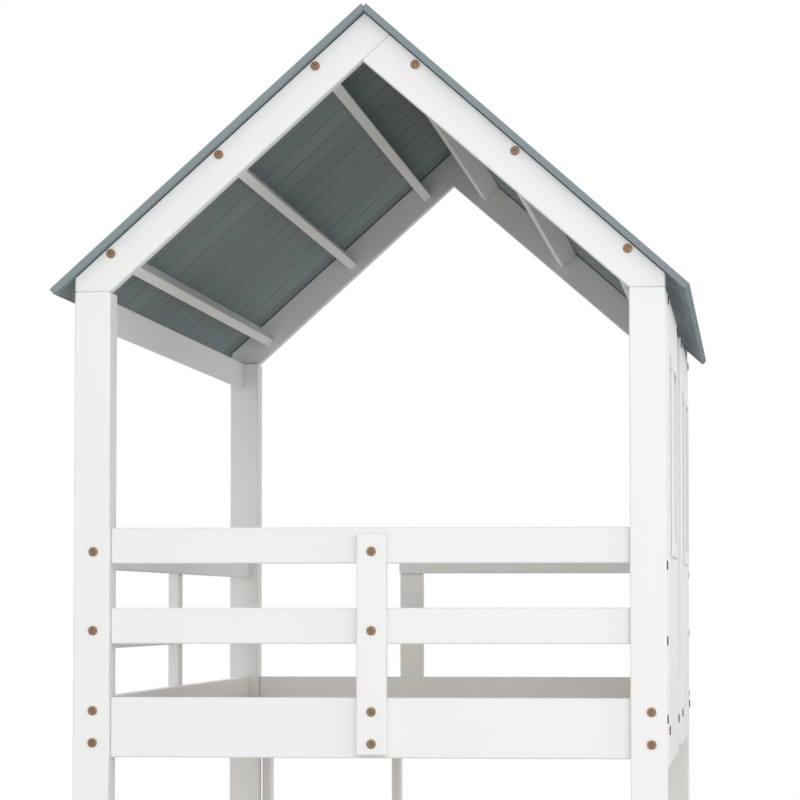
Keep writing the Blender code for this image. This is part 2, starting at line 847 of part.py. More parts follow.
def make_all():
    remove_all_objects()
    make_posts()
    make_upper_ends()
    make_upper_sides()
    make_lower_rails()
    make_bunk_base("upper", upper_rail_level, upper_rail_recess)
    make_bunk_base("lower", lower_rail_level, lower_rail_recess)
    make_gables()
    make_eave_beams()
    make_purlins()
    make_roof()
    make_window_walls()
    make_ladder()
    make_trundle_box()
    make_trundle_base()
    make_caster_forks()
    make_wheels()
    fit_dowels()


make_all()
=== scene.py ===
# %% [markdown]
# # A painted bunk bed under a house roof
# The joinery of this bed comes from the imported CAD model, which holds every board in its
# place. This lesson adds what a cabinet shop adds last: paint with a trace of grain in it,
# bolt heads, a black strip that paints the shadow line under the roof's edge, planed pine
# slats with their screws, and real caster wheels.
# We could rebuild every board here, but then two models would have to agree. Loading the
# packed one keeps a single set of sizes, and new pieces are measured from it.

# %% Load the imported bed
import math

import bmesh
import bpy
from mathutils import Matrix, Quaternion, Vector


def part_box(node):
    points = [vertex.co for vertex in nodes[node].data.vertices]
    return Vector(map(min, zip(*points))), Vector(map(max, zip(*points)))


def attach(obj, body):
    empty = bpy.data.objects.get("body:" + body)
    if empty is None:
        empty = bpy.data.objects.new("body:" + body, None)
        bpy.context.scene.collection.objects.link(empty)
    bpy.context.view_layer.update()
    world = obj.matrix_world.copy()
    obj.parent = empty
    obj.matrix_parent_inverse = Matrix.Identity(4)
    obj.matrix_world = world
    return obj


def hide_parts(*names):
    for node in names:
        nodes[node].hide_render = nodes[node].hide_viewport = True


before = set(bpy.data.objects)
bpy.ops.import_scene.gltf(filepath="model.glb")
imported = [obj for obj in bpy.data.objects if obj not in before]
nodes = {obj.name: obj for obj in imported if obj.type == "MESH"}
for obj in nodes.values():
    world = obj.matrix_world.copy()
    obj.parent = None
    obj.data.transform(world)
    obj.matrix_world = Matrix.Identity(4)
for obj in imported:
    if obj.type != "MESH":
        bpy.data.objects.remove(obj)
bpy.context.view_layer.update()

scene = bpy.context.scene

# %% [markdown]
# ## Selecting as by hand
# An operator works on whatever is selected, and the import leaves every board selected. So
# each step starts from an empty selection. In edit mode a face is picked by where it is or
# which way it looks, just as a modeller clicks on it. Index numbers would be shorter, but
# they change with every cut.

# %% Selection helpers
facing_share = 0.9


def deselect():
    """Leave nothing selected in object mode."""
    if bpy.context.object and bpy.context.object.mode != "OBJECT":
        bpy.ops.object.mode_set(mode="OBJECT")
    bpy.ops.object.select_all(action="DESELECT")


def choose(pieces):
    """Select these pieces alone and make the first one active."""
    deselect()
    for piece in pieces:
        piece.select_set(True)
    bpy.context.view_layer.objects.active = pieces[0]


def edit(piece, mode="FACE"):
    """Open one piece in edit mode with nothing selected."""
    choose([piece])
    bpy.ops.object.mode_set(mode="EDIT")
    bpy.ops.mesh.select_mode(type=mode)
    bpy.ops.mesh.select_all(action="DESELECT")


def pick_faces(piece, wanted):
    """Select the faces that pass a test, and no others."""
    bpy.ops.mesh.select_all(action="DESELECT")
    shape = bmesh.from_edit_mesh(piece.data)
    for face in [face for face in shape.faces if wanted(face)]:
        face.select_set(True)
    bmesh.update_edit_mesh(piece.data)


def pick_edges(piece, wanted):
    """Select the edges that pass a test, and no others."""
    bpy.ops.mesh.select_all(action="DESELECT")
    shape = bmesh.from_edit_mesh(piece.data)
    for edge in [edge for edge in shape.edges if wanted(edge)]:
        edge.select_set(True)
    bmesh.update_edit_mesh(piece.data)


def looks_up(face):
    """A test for faces that look straight up."""
    return face.normal.z > facing_share


def close_edit():
    """Back to object mode."""
    bpy.ops.object.mode_set(mode="OBJECT")


deselect()
print("selected", len(bpy.context.selected_objects))

# %% [markdown]
# ## Settling pieces into the frame
# A finished piece keeps its object at the origin and its place in its mesh, so that a
# pattern on Object coordinates stays where it was made. Applying the transform does that.
# Edges are shaded smooth below an angle, which rounds a bevel and keeps a corner crisp.

# %% Finishing helpers
smooth_below = math.radians(35)


def settle(pieces):
    """Write place, turn and size into the meshes."""
    choose(pieces)
    bpy.ops.object.transform_apply(location=True, rotation=True, scale=True)


def smooth(piece):
    """Shade a piece smooth wherever its faces meet at a small angle."""
    choose([piece])
    bpy.ops.object.shade_smooth_by_angle(angle=smooth_below)


def weld(pieces, name):
    """Join several settled pieces into one with this name."""
    choose(pieces)
    if len(pieces) > 1:
        bpy.ops.object.join()
    piece = bpy.context.view_layer.objects.active
    piece.name = name
    piece.data.name = name
    return piece


def twin(piece):
    """A copy with its own mesh."""
    copy = piece.copy()
    copy.data = piece.data.copy()
    scene.collection.objects.link(copy)
    return copy


def coat(piece, material):
    """Give a piece this material and no other."""
    piece.data.materials.clear()
    piece.data.materials.append(material)


print("smooth below", round(math.degrees(smooth_below)), "degrees")

# %% [markdown]
# ## Wires that do arithmetic
# A material is a small circuit. Writing it as sums keeps it readable, so one class wraps a
# socket, and each sign between two of them adds a Math node. Colours go through a Mix node
# instead, because a Math node would turn them grey. Every other node comes from one method.

# %% A wire and a finish
class Wire:
    """The output of a node, which adds Math nodes when it is used in a sum."""

    def __init__(self, finish, socket):
        self.finish = finish
        self.socket = socket

    def __add__(self, other):
        return self.finish.maths("ADD", self, other)

    def __radd__(self, other):
        return self.finish.maths("ADD", other, self)

    def __sub__(self, other):
        return self.finish.maths("SUBTRACT", self, other)

    def __rsub__(self, other):
        return self.finish.maths("SUBTRACT", other, self)

    def __mul__(self, other):
        return self.finish.maths("MULTIPLY", self, other)

    def __rmul__(self, other):
        return self.finish.maths("MULTIPLY", other, self)

    def __truediv__(self, other):
        return self.finish.maths("DIVIDE", self, other)

    def __rtruediv__(self, other):
        return self.finish.maths("DIVIDE", other, self)

    def __pow__(self, other):
        return self.finish.maths("POWER", self, other)


class Finish:
    """A material or the world, as a tree of nodes that is being written."""

    def __init__(self, owner):
        self.owner = owner
        owner.use_nodes = True
        self.tree = owner.node_tree
        self.tree.nodes.clear()

    def node(self, kind, settings=None, sockets=None):
        """Add a node: first its settings, then the values or wires of its sockets."""
        made = self.tree.nodes.new("ShaderNode" + kind)
        for name, value in (settings or {}).items():
            setattr(made, name, value)
        for name, value in (sockets or {}).items():
            if isinstance(value, Wire):
                self.tree.links.new(value.socket, made.inputs[name])
            elif isinstance(value, tuple) and made.inputs[name].type == "RGBA":
                made.inputs[name].default_value = (*value[:3], 1)
            else:
                made.inputs[name].default_value = value
        return made

    def wire(self, kind, output, settings=None, sockets=None):
        """Add a node and hand back one of its outputs."""
        return Wire(self, self.node(kind, settings, sockets).outputs[output])

    def maths(self, operation, first, second=0.0, clamp=False):
        """Work on one or two numbers, and hold the result between 0 and 1 if asked."""
        return self.wire("Math", 0, {"operation": operation, "use_clamp": clamp},
                         {0: first, 1: second})

    def held(self, value):
        """Hold a value between 0 and 1."""
        return self.maths("MULTIPLY", value, 1.0, True)

    def mix(self, share, first, second):
        """Mix two colours by a share."""
        return self.wire("Mix", 2, {"data_type": "RGBA"}, {0: share, 6: first, 7: second})

    def place(self):
        """Where a point of the surface is, in the bed's own metres."""
        return self.wire("TexCoord", "Object")

    def axis(self, vector, index):
        """One number out of a vector: 0 is its X, 1 its Y and 2 its Z."""
        return self.wire("SeparateXYZ", index, None, {"Vector": vector})

    def carried(self, name):
        """A number that the points of a piece carry, or 0 where they carry none."""
        return self.wire("Attribute", "Fac", {"attribute_name": name})

    def noise(self, at, scale, detail=2.0, roughness=0.5):
        """Clouds, the smaller the larger the scale is."""
        return self.wire("TexNoise", 0, None, {"Vector": at, "Scale": scale, "Detail": detail,
                                               "Roughness": roughness})

    def stretched(self, at, turn, sizes):
        """Coordinates along and across a board that is turned, each in its own unit."""
        return self.wire("Mapping", 0, {"vector_type": "TEXTURE"},
                         {"Vector": at, "Rotation": turn, "Scale": sizes})

    def bump(self, height, distance, under=None):
        """Turn a height into a Normal, on top of another bump where one is given."""
        sockets = {"Height": height, "Distance": distance}
        if under is not None:
            sockets["Normal"] = under
        return self.wire("Bump", 0, None, sockets)

    def surface(self, **sockets):
        """Close a material with its Principled shader."""
        named = {name.replace("_", " "): value for name, value in sockets.items()}
        shader = self.wire("BsdfPrincipled", 0, None, named)
        self.node("OutputMaterial", None, {"Surface": shader})
        return self.owner


def new_finish(name):
    """Start a material with this name."""
    return Finish(bpy.data.materials.new(name))


print("finish tools ready")

# %% [markdown]
# ## White satin paint
# The boards are sprayed white. Under the paint the long grain still stands up a few
# hundredths of a millimetre, the film has the fine dimples of a sprayed coat, and its
# gloss drifts slowly over a board. A flat white would look like plastic, so all three are
# here, each far below what the eye reads as a pattern. The grain follows the board, so
# there is one paint for each way that a board runs.

# %% White paint along any direction
paint_white = (0.870, 0.870, 0.865)
paint_shade = (0.845, 0.845, 0.838)
paint_roughness = 0.36
grain_sizes = (0.45, 0.0045, 0.0045)
streak_sizes = (0.90, 0.030, 0.030)
cloud_scale = 2.6
dimple_scale = 420.0
streak_weight = 0.6
cloud_weight = 0.5
cloud_dulls = 0.10
grain_dulls = 0.08
grain_relief = 0.00006
dimple_relief = 0.000018


def white_paint(name, turn):
    """White paint over grain that runs along a turned board."""
    finish = new_finish(name)
    at = finish.place()
    grain = finish.noise(finish.stretched(at, turn, grain_sizes), 1.0, 4.0, 0.6)
    streak = finish.noise(finish.stretched(at, turn, streak_sizes), 1.0, 2.0)
    cloud = finish.noise(at, cloud_scale, 2.0)
    dimples = finish.noise(at, dimple_scale, 1.0)
    depth = finish.held(streak * streak_weight + cloud * cloud_weight)
    colour = finish.mix(depth, paint_white, paint_shade)
    dullness = paint_roughness + cloud * cloud_dulls + grain * grain_dulls
    dimpled = finish.bump(dimples, dimple_relief, finish.bump(grain, grain_relief))
    return finish.surface(Base_Color=colour, Roughness=dullness, Normal=dimpled)


quarter = math.pi / 2
ridge_x, ridge_z = -0.006, 2.378
shoulder_x, shoulder_z = 0.5435, 1.8925
rise_left = math.atan2(ridge_z - shoulder_z, ridge_x + shoulder_x)
rise_right = math.atan2(ridge_z - shoulder_z, shoulder_x - ridge_x)
board_turns = {
    "across": (0.0, 0.0, 0.0),
    "along": (0.0, 0.0, quarter),
    "upright": (0.0, -quarter, 0.0),
    "left_slope": (0.0, -rise_left, 0.0),
    "right_slope": (0.0, rise_right, 0.0),
}
paints = {way: white_paint("white_paint_" + way, turn) for way, turn in board_turns.items()}
print("white paints", sorted(paints), "slopes",
      round(math.degrees(rise_left), 1), round(math.degrees(rise_right), 1))

# %% [markdown]
# ## Blue-grey roof paint
# The roof is made of planks with a V groove between them. Each plank takes the paint a
# little differently, so its tone steps at each groove. The step could be painted on, but a
# count of planks along Y is exact: dividing Y by the plank's width and dropping the
# fraction numbers the planks, and a White Noise node gives each number its own tone. The
# two outer ends lie exactly on a whole number, where rounding would speckle them, so the
# count is held half a plank inside both ends. The paint is a chalky one with next to no
# sheen, so that the roof doesn't glitter when it is seen along its slope.

# %% Roof paint, plank by plank
roof_low, roof_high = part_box("roof_board_left")
plank_count = 14
plank_width = (roof_high.y - roof_low.y) / plank_count
roof_pale = (0.290, 0.343, 0.360)
roof_deep = (0.214, 0.256, 0.274)
roof_roughness = 0.82
roof_sheen = 0.1
roof_grain_sizes = (0.30, 0.004, 0.004)
roof_cloud_scale = 3.4
roof_dimple_scale = 380.0
plank_weight = 0.40
roof_grain_weight = 0.70
roof_cloud_weight = 0.35
roof_shade_start = 0.25
roof_grain_dulls = 0.12
roof_grain_relief = 0.00008
roof_dimple_relief = 0.00001
# The middle of each groove is darkened to this colour as painted shade, this far to either side.
groove_half = 0.0031
groove_shade_colour = (0.030, 0.037, 0.042)


def roof_paint(name, turn):
    """Grey paint on one slope, with a tone for each plank and painted shade in the grooves."""
    finish = new_finish(name)
    at = finish.place()
    along = (finish.axis(at, 1) - roof_low.y) / plank_width
    first_half = 0.5
    last_half = plank_count - 0.5
    kept = finish.maths("MINIMUM", finish.maths("MAXIMUM", along, first_half), last_half)
    plank = finish.maths("FLOOR", kept)
    off_groove = finish.maths("PINGPONG", along, 0.5) * plank_width
    inner = (finish.maths("GREATER_THAN", along, first_half)
             * finish.maths("LESS_THAN", along, last_half))
    # Painted shade: the grooves darken towards their middles, but not at the roof's two outer
    # ends.
    painted_groove_shade = finish.maths("SUBTRACT", 1.0, off_groove / groove_half, True) * inner
    tone = finish.wire("TexWhiteNoise", 0, {"noise_dimensions": "1D"}, {"W": plank})
    grain = finish.noise(finish.stretched(at, turn, roof_grain_sizes), 1.0, 5.0, 0.62)
    cloud = finish.noise(at, roof_cloud_scale, 3.0)
    dimples = finish.noise(at, roof_dimple_scale, 1.0)
    share = finish.held(tone * plank_weight + grain * roof_grain_weight
                        + cloud * roof_cloud_weight - roof_shade_start)
    colour = finish.mix(painted_groove_shade, finish.mix(share, roof_pale, roof_deep), groove_shade_colour)
    dimpled = finish.bump(dimples, roof_dimple_relief, finish.bump(grain, roof_grain_relief))
    return finish.surface(Base_Color=colour, Roughness=roof_roughness + grain * roof_grain_dulls,
                          Normal=dimpled, Specular_IOR_Level=roof_sheen)


roof_paints = {"left": roof_paint("roof_paint_left", board_turns["left_slope"]),
               "right": roof_paint("roof_paint_right", board_turns["right_slope"])}
print("roof planks", plank_count, "each", round(plank_width, 4), "m wide")

# %% [markdown]
# ## Bare pine
# Slats and bearers are planed pine with no finish. Growth rings are shells round the
# middle of the tree, and a board is a thin slice through them, so the pattern on its face
# is a cut through rings. Arches could be painted one by one, but the distance from a tree's
# axis, bent by a slow noise, gives them by itself. Every board carries its own number,
# which moves the axis, so that no two boards match. Knots are rare dark ovals.

# %% Pine along and across the bed
ring_width = 0.0042
ring_wander = 0.050
ring_sharpness = 3.0
axis_step = 0.045
axis_offset = 0.022
axis_swing = 0.3
axis_drop = 0.012
axis_drop_range = 0.03
depth_step = 0.5
depth_share = 0.6
board_shift = (0.4, 0.4, 0.4)
wander_sizes = (0.55, 0.09, 0.09)
fibre_sizes = (0.12, 0.0011, 0.0011)
knot_sizes = (0.34, 0.16, 0.16)
knot_edge = 15.0
late_weight = 0.75
fibre_weight = 0.30
pine_roughness = 0.62
late_shines = 0.12
fibre_dulls = 0.10
late_height = 0.5
pine_relief = 0.00012
early_wood = (0.780, 0.660, 0.490)
late_wood = (0.620, 0.460, 0.295)
knot_brown = (0.230, 0.110, 0.050)


def pine(name, turn):
    """Bare pine along a turned board, with rings, fibres and a rare knot."""
    finish = new_finish(name)
    at = finish.place()
    own = finish.wire("TexWhiteNoise", 1, {"noise_dimensions": "1D"},
                      {"W": finish.carried("board_number")})
    moved = finish.wire("VectorMath", 0, {"operation": "MULTIPLY_ADD"},
                        {0: own, 1: board_shift, 2: at})
    wander = finish.noise(finish.stretched(moved, turn, wander_sizes), 1.0, 2.0)
    across = finish.stretched(at, turn, (1.0, 1.0, 1.0))
    side = finish.axis(across, 1) + finish.axis(own, 0) * axis_swing
    reach = finish.maths("PINGPONG", side, axis_step) - axis_offset
    depth = finish.maths("PINGPONG", finish.axis(across, 2), depth_step) * depth_share
    drop = depth + finish.axis(own, 1) * axis_drop_range + axis_drop
    radius = finish.maths("SQRT", reach * reach + drop * drop) + wander * ring_wander
    late = finish.maths("FRACT", radius / ring_width) ** ring_sharpness
    fibre = finish.noise(finish.stretched(moved, turn, fibre_sizes), 1.0, 3.0, 0.6)
    knots = finish.wire("TexVoronoi", 0, {"feature": "F1"},
                        {"Vector": finish.stretched(moved, turn, knot_sizes), "Scale": 1.0})
    knot = finish.maths("SUBTRACT", 1.0, knots * knot_edge, True)
    wood = finish.mix(finish.held(late * late_weight + fibre * fibre_weight), early_wood,
                      late_wood)
    dullness = pine_roughness - late * late_shines + fibre * fibre_dulls
    return finish.surface(Base_Color=finish.mix(knot, wood, knot_brown), Roughness=dullness,
                          Normal=finish.bump(late * late_height + fibre, pine_relief))


pines = {way: pine("bare_pine_" + way, board_turns[way]) for way in ("across", "along")}
print("pines", sorted(pines), "ring width in mm", ring_width * 1000)

# %% [markdown]
# ## Metals, rubber, nylon and a black for painted shadow
# The bolt heads and their sockets are bronze plated: a metal with a warm base colour and a
# slightly uneven gloss. The caster forks are bright zinc, whose crystals show as patches
# that catch the light differently. The tyre is dull rubber, its hub is moulded nylon, and
# the strips under the roof are a dull black that paints the shadow line there. A Principled
# shader does all five, with a noise in its roughness and bump. A metal also reads an
# attribute that a piece may carry in its corners and hollows, where its colour is darkened
# as painted shade and its gloss made duller. Where a piece has none, the attribute is zero
# and changes nothing.

# %% Bronze, zinc, tyre, hub and the black for painted shadow
shade_darkness = 0.12
even_weight = 0.5
haze_scale_share = 0.5
facet_dulls = 0.08
haze_dulls = 0.10
shade_dulls = 0.2
scratch_scale = 1800.0
scratch_relief = 0.00001
mould_cloud_scale = 60.0
mould_cloud_dulls = 0.12


def metal(name, base, worn, roughness, patch_scale):
    """Plated metal in patches of two colours, darkened as painted shade where a piece marks it.
    """
    finish = new_finish(name)
    at = finish.place()
    patch = finish.wire("TexVoronoi", 1, {"feature": "F1"}, {"Vector": at,
                                                            "Scale": patch_scale})
    facet = finish.axis(patch, 0)
    haze = finish.noise(at, patch_scale * haze_scale_share, 3.0)
    plate = finish.mix(finish.held(facet * even_weight + haze * even_weight), base, worn)
    # Painted shade: where a piece carries this attribute, the colour darkens and the gloss
    # dulls.
    hollow_shade = finish.carried("hollow_shade")
    dark = tuple(value * shade_darkness for value in worn)
    dullness = roughness + facet * facet_dulls + haze * haze_dulls + hollow_shade * shade_dulls
    scratches = finish.noise(at, scratch_scale, 2.0)
    return finish.surface(Base_Color=finish.mix(hollow_shade, plate, dark), Metallic=1.0,
                          Roughness=dullness, Normal=finish.bump(scratches, scratch_relief))


def moulded(name, base, shade, roughness, grain_scale, relief):
    """Rubber, nylon or the black of the painted shadow strips: a dull surface with a fine grain.
    """
    finish = new_finish(name)
    at = finish.place()
    grain = finish.noise(at, grain_scale, 3.0)
    cloud = finish.noise(at, mould_cloud_scale, 2.0)
    colour = finish.mix(finish.held(grain * even_weight + cloud * even_weight), base, shade)
    return finish.surface(Base_Color=colour, Roughness=roughness + cloud * mould_cloud_dulls,
                          Normal=finish.bump(grain, relief))


bronze = metal("bolt_bronze", (0.350, 0.225, 0.130), (0.265, 0.172, 0.102), 0.42, 900.0)
zinc = metal("zinc_plate", (0.640, 0.650, 0.670), (0.520, 0.530, 0.560), 0.26, 260.0)
tyre_rubber = moulded("tyre_rubber", (0.060, 0.060, 0.064), (0.035, 0.035, 0.038), 0.66,
                      900.0, 0.00006)
hub_nylon = moulded("hub_nylon", (0.330, 0.335, 0.345), (0.270, 0.275, 0.285), 0.42, 500.0,
                    0.00003)
# The black of the strips under the roof: a painted shadow line that stands in for the gap's
# shadow.
shadow_strip_black = moulded("shadow_strip_black", (0.022, 0.023, 0.026), (0.034, 0.035, 0.038), 0.82, 1500.0,
                    0.00008)
print("metals and plastics", [bronze.name, zinc.name, tyre_rubber.name, hub_nylon.name,
                              shadow_strip_black.name])

# %% [markdown]
# ## Painting the joinery
# The CAD boards have the right shape, so they stay and only get a finish. A name says which
# way a board runs: rails across the ends lie along X, side rails and purlins along Y, posts
# and battens stand up, and rafters follow their slope.

# %% Give every CAD board its paint
def board_way(name):
    """The way that a board's grain runs, from its name."""
    if name.startswith("rafter"):
        return "left_slope" if name.endswith("left") else "right_slope"
    if name.startswith(("post", "ladder_side", "window")) or name.endswith("batten"):
        return "upright"
    if name.startswith(("eave_beam", "purlin")) or "left" in name or "right" in name:
        return "along"
    if name.startswith(("trundle_front", "trundle_back")):
        return "along"
    return "across"


for name, node in nodes.items():
    if name.startswith("roof_board"):
        paint = roof_paints[name.split("_")[-1]]
    elif name.startswith("caster_fork"):
        paint = zinc
    else:
        paint = paints[board_way(name)]
    coat(node, paint)
print("painted nodes", len(nodes))

# %% [markdown]
# ## One bolt head
# Furniture bolts have a low round head with a bevelled rim, a shallow dish and a hexagon
# socket. We start from a short cylinder, bevel its rim, inset and sink the top for the
# dish, and sink a hexagonal cutter with a Boolean for the socket. Insetting alone would
# leave a round hole. An attribute marks the rim's outer edge and the corner round the
# socket's floor, which the metal darkens as painted shade, and an inset keeps the floor's
# middle bright. The head is modelled once, lying on the floor and looking up.

# %% Model the bolt head
bolt_radius = 0.0085
bolt_height = 0.0022
bolt_sides = 24
top_share = 0.9
rim_share = 0.99
rim_bevel = 0.0007
rim_width = 0.0020
dish_depth = 0.0007
socket_sides = 6
socket_radius = 0.0038
socket_depth = 0.0014
floor_corner = 0.0016
rim_shade_amount = 0.8


def bolt_head(name, radius, height):
    """A bolt head of any size, in the same proportions, lying on the floor."""
    size = radius / bolt_radius
    bpy.ops.mesh.primitive_cylinder_add(vertices=bolt_sides, radius=radius, depth=height,
                                        location=(0, 0, height / 2))
    head = bpy.context.object
    head.name = name
    settle([head])
    edit(head, "EDGE")
    pick_edges(head, lambda edge: all(vert.co.z > height * top_share for vert in edge.verts))
    bpy.ops.mesh.bevel(offset=rim_bevel * size, segments=2, affect="EDGES")
    bpy.ops.mesh.select_mode(type="FACE")
    pick_faces(head, lambda face: looks_up(face) and len(face.verts) == bolt_sides)
    bpy.ops.mesh.inset(thickness=rim_width * size)
    bpy.ops.mesh.inset(thickness=dish_depth * size)
    bpy.ops.transform.translate(value=(0, 0, -dish_depth * size))
    close_edit()
    bpy.ops.mesh.primitive_cylinder_add(vertices=socket_sides, radius=socket_radius * size,
                                        depth=2 * socket_depth * size,
                                        location=(0, 0, height - dish_depth * size))
    cutter = bpy.context.object
    choose([head])
    socket = head.modifiers.new("socket", "BOOLEAN")
    socket.operation = "DIFFERENCE"
    socket.solver = "EXACT"
    socket.object = cutter
    bpy.ops.object.modifier_apply(modifier="socket")
    bpy.data.objects.remove(cutter)
    edit(head)
    floor_top = height - (dish_depth + socket_depth / 2) * size
    pick_faces(head, lambda face: looks_up(face) and face.calc_center_median().z < floor_top)
    bpy.ops.mesh.inset(thickness=floor_corner * size)
    close_edit()
    smooth(head)
    # These marks are painted shade: the rim's foot and the corner round the socket's floor are
    # darkened.
    mark = head.data.attributes.new("hollow_shade", "FLOAT", "POINT")
    for point, vert in zip(mark.data, head.data.vertices):
        reach = math.hypot(vert.co.x, vert.co.y)
        on_floor = reach < (socket_radius + floor_corner) * size and vert.co.z < floor_top
        in_corner = on_floor and reach > (socket_radius - floor_corner / 2) * size
        on_rim = reach > radius * rim_share
        point.value = 1.0 if in_corner else rim_shade_amount if on_rim else 0.0
    return head


bolt = bolt_head("bolt_pattern", bolt_radius, bolt_height)
print("bolt faces", len(bolt.data.polygons), "points in painted shade",
      sum(point.value > 0.5 for point in bolt.data.attributes["hollow_shade"].data))

# %% [markdown]
# ## Driving the bolts
# A row of bolts is a copy of the pattern at each place, turned to look out of its board.
# Real sockets stop at any angle, so each copy is also turned a little more about its own
# axis. The copies of one board are joined, because they belong to it and move with it.
# The front guard rails are bolted to the left post, as the picture shows. The back ones
# reach the right post alone, because the ladder's entry is beside the left one.

# %% Place copies of a fastener
socket_turn = 0.61
sunk = 0.00005


def fasten(name, pattern, places, facing, material, body):
    """Set copies of a pattern at places on a surface that looks one way, and count them."""
    out = Vector(facing).normalized()
    turn = Vector((0, 0, 1)).rotation_difference(out)
    copies = []
    for count, place in enumerate(places):
        copy = twin(pattern)
        copy.rotation_mode = "QUATERNION"
        copy.rotation_quaternion = turn @ Quaternion((0, 0, 1), socket_turn * count)
        copy.location = Vector(place) - out * sunk
        copies.append(copy)
    settle(copies)
    piece = weld(copies, name)
    coat(piece, material)
    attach(piece, body)
    return len(places)


upper_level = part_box("upper_front_bed_rail")[0].z
lower_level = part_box("lower_front_bed_rail")[0].z
end_bolt_lifts = (0.3766, 0.2321, 0.0857, 0.0271)
bed_bolt_lifts = end_bolt_lifts[2:]
side_bolt_lifts = {"left": (0.3780, 0.2310, 0.0723), "right": (0.3510, 0.2138, 0.0723)}
end_bolt_x = {"left": -0.5070, "right": 0.5156}
side_bolt_inset = 0.031
signs = {"left": -1, "right": 1, "front": -1, "back": 1}
guard_bolt_side = {"front": "left", "back": "right"}
corners = [(end, side) for end in ("front", "back") for side in ("left", "right")]
count = 0
for end, side in corners:
    low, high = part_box("post_" + end + "_" + side)
    face_y = low.y if end == "front" else high.y
    face_x = low.x if side == "left" else high.x
    lifts = end_bolt_lifts if side == guard_bolt_side[end] else bed_bolt_lifts
    levels = [upper_level + lift for lift in lifts]
    levels += [lower_level + lift for lift in bed_bolt_lifts]
    count += fasten("end_bolts_" + end + "_" + side, bolt,
                    [(end_bolt_x[side], face_y, level) for level in levels],
                    (0, signs[end], 0), bronze, "frame")
    levels = [upper_level + lift for lift in side_bolt_lifts[side]]
    levels += [lower_level + side_bolt_lifts[side][-1]]
    y = face_y - signs[end] * side_bolt_inset
    count += fasten("side_bolts_" + end + "_" + side, bolt,
                    [(face_x, y, level) for level in levels],
                    (signs[side], 0, 0), bronze, "frame")
print("post bolts", count)

# %% [markdown]
# ## Bolts in battens, gables and walls
# Battens are bolted to each rail behind them, and the left one's guard rails sit a little
# lower. A rafter takes a bolt wherever a purlin ends behind it. As in the picture, it is a
# little down the slope from the purlin's middle. Each window wall has four, near its
# corners, into the eave beam and the bed rail. They are measured from the boards that
# take them.

# %% Batten, rafter and wall bolts
guard_lifts = (0.3766, 0.2321)
bed_rail_lifts = (0.0849, 0.0266)
side_guard_drop = 0.010
batten_facings = {"front": (0, -1, 0), "back": (0, 1, 0), "left": (-1, 0, 0)}
count = 0
for side, facing in batten_facings.items():
    low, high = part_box("upper_" + side + "_batten")
    face_x = low.x if side == "left" else (low.x + high.x) / 2
    face_y = {"front": low.y, "back": high.y, "left": (low.y + high.y) / 2}[side]
    guard_drop = side_guard_drop if side == "left" else 0.0
    lifts = [lift - guard_drop for lift in guard_lifts] + list(bed_rail_lifts)
    count += fasten("batten_bolts_" + side, bolt,
                    [(face_x, face_y, upper_level + lift) for lift in lifts],
                    facing, bronze, "frame")

purlin_shares = (0.178, 0.511, 0.884)
rafter_bolt_drop = 0.0123
rafter_bolt_slip = 0.005
ridge = Vector((ridge_x, 0, ridge_z))
for end, side in corners:
    low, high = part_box("rafter_" + end + "_" + side)
    face_y = low.y if end == "front" else high.y
    shoulder = Vector((signs[side] * shoulder_x, 0, shoulder_z))
    down = (shoulder - ridge).normalized()
    out = Vector((-down.z, 0, down.x)) * signs[side]
    places = []
    for share in purlin_shares:
        place = (ridge + (shoulder - ridge) * share + down * rafter_bolt_slip
                 - out * rafter_bolt_drop)
        places.append((place.x, face_y, place.z))
    count += fasten("rafter_bolts_" + end + "_" + side, bolt, places,
                    (0, signs[end], 0), bronze, "frame")

wall_bolt_inset = 0.020
wall_bolt_head = 0.0134
wall_bolt_foot = 0.067
for end in ("front", "back"):
    low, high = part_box("window_wall_" + end)
    count += fasten("wall_bolts_" + end, bolt,
                    [(high.x, y, z) for y in (low.y + wall_bolt_inset, high.y - wall_bolt_inset)
                     for z in (low.z + wall_bolt_foot, high.z - wall_bolt_head)],
                    (1, 0, 0), bronze, "frame")
print("other bolts", count)

# %% [markdown]
# ## A painted shadow line under the roof boards
# A thin black line runs along both slopes of each gable, where the roof boards meet the
# rafters: the shadow in a narrow gap between them. It is made here as a black strip in the
# eased corner of each rafter, a painted shadow that stands where the gap would be. In the
# picture the line is thinner on the right, so that strip is slimmer. A strip starts as a
# long cube, and a bevel takes away the long edge that would cut into the rafter, nearly all
# of it. A line painted on the roof would need no mesh, but it would leave the joint in every
# view but one.

# %% Black strips that paint the shadow line along the rafters
shadow_line_sizes = {"left": 0.0019, "right": 0.0013}
shadow_line_uncut = 0.00005
shadow_line_back = 0.0001
shadow_line_lift = 0.0002
shadow_line_ends = 0.004
slope_turns = {"left": -rise_left, "right": rise_right}


def lay_shadow_strip(side, face_y, inward):
    """One black strip, a painted shadow line, in a rafter's eased upper corner, from the ridge
    down to the eave.
    """
    foot = Vector((signs[side] * shoulder_x, 0, shoulder_z))
    length = (foot - ridge).length - 2 * shadow_line_ends
    size = shadow_line_sizes[side]
    bpy.ops.mesh.primitive_cube_add(size=1, scale=(length, size, size))
    strip = bpy.context.object
    settle([strip])
    edit(strip, "EDGE")
    pick_edges(strip, lambda edge: all(vert.co.y * inward > 0 and vert.co.z < 0
                                       for vert in edge.verts))
    bpy.ops.mesh.bevel(offset=size - shadow_line_uncut, segments=1, affect="EDGES")
    close_edit()
    turn = slope_turns[side]
    out = Vector((math.sin(turn), 0, math.cos(turn)))
    place = (ridge + foot) / 2 + out * (shadow_line_lift - size / 2)
    place.y = face_y + inward * (shadow_line_back + size / 2)
    strip.rotation_euler = (0, turn, 0)
    strip.location = place
    settle([strip])
    return strip


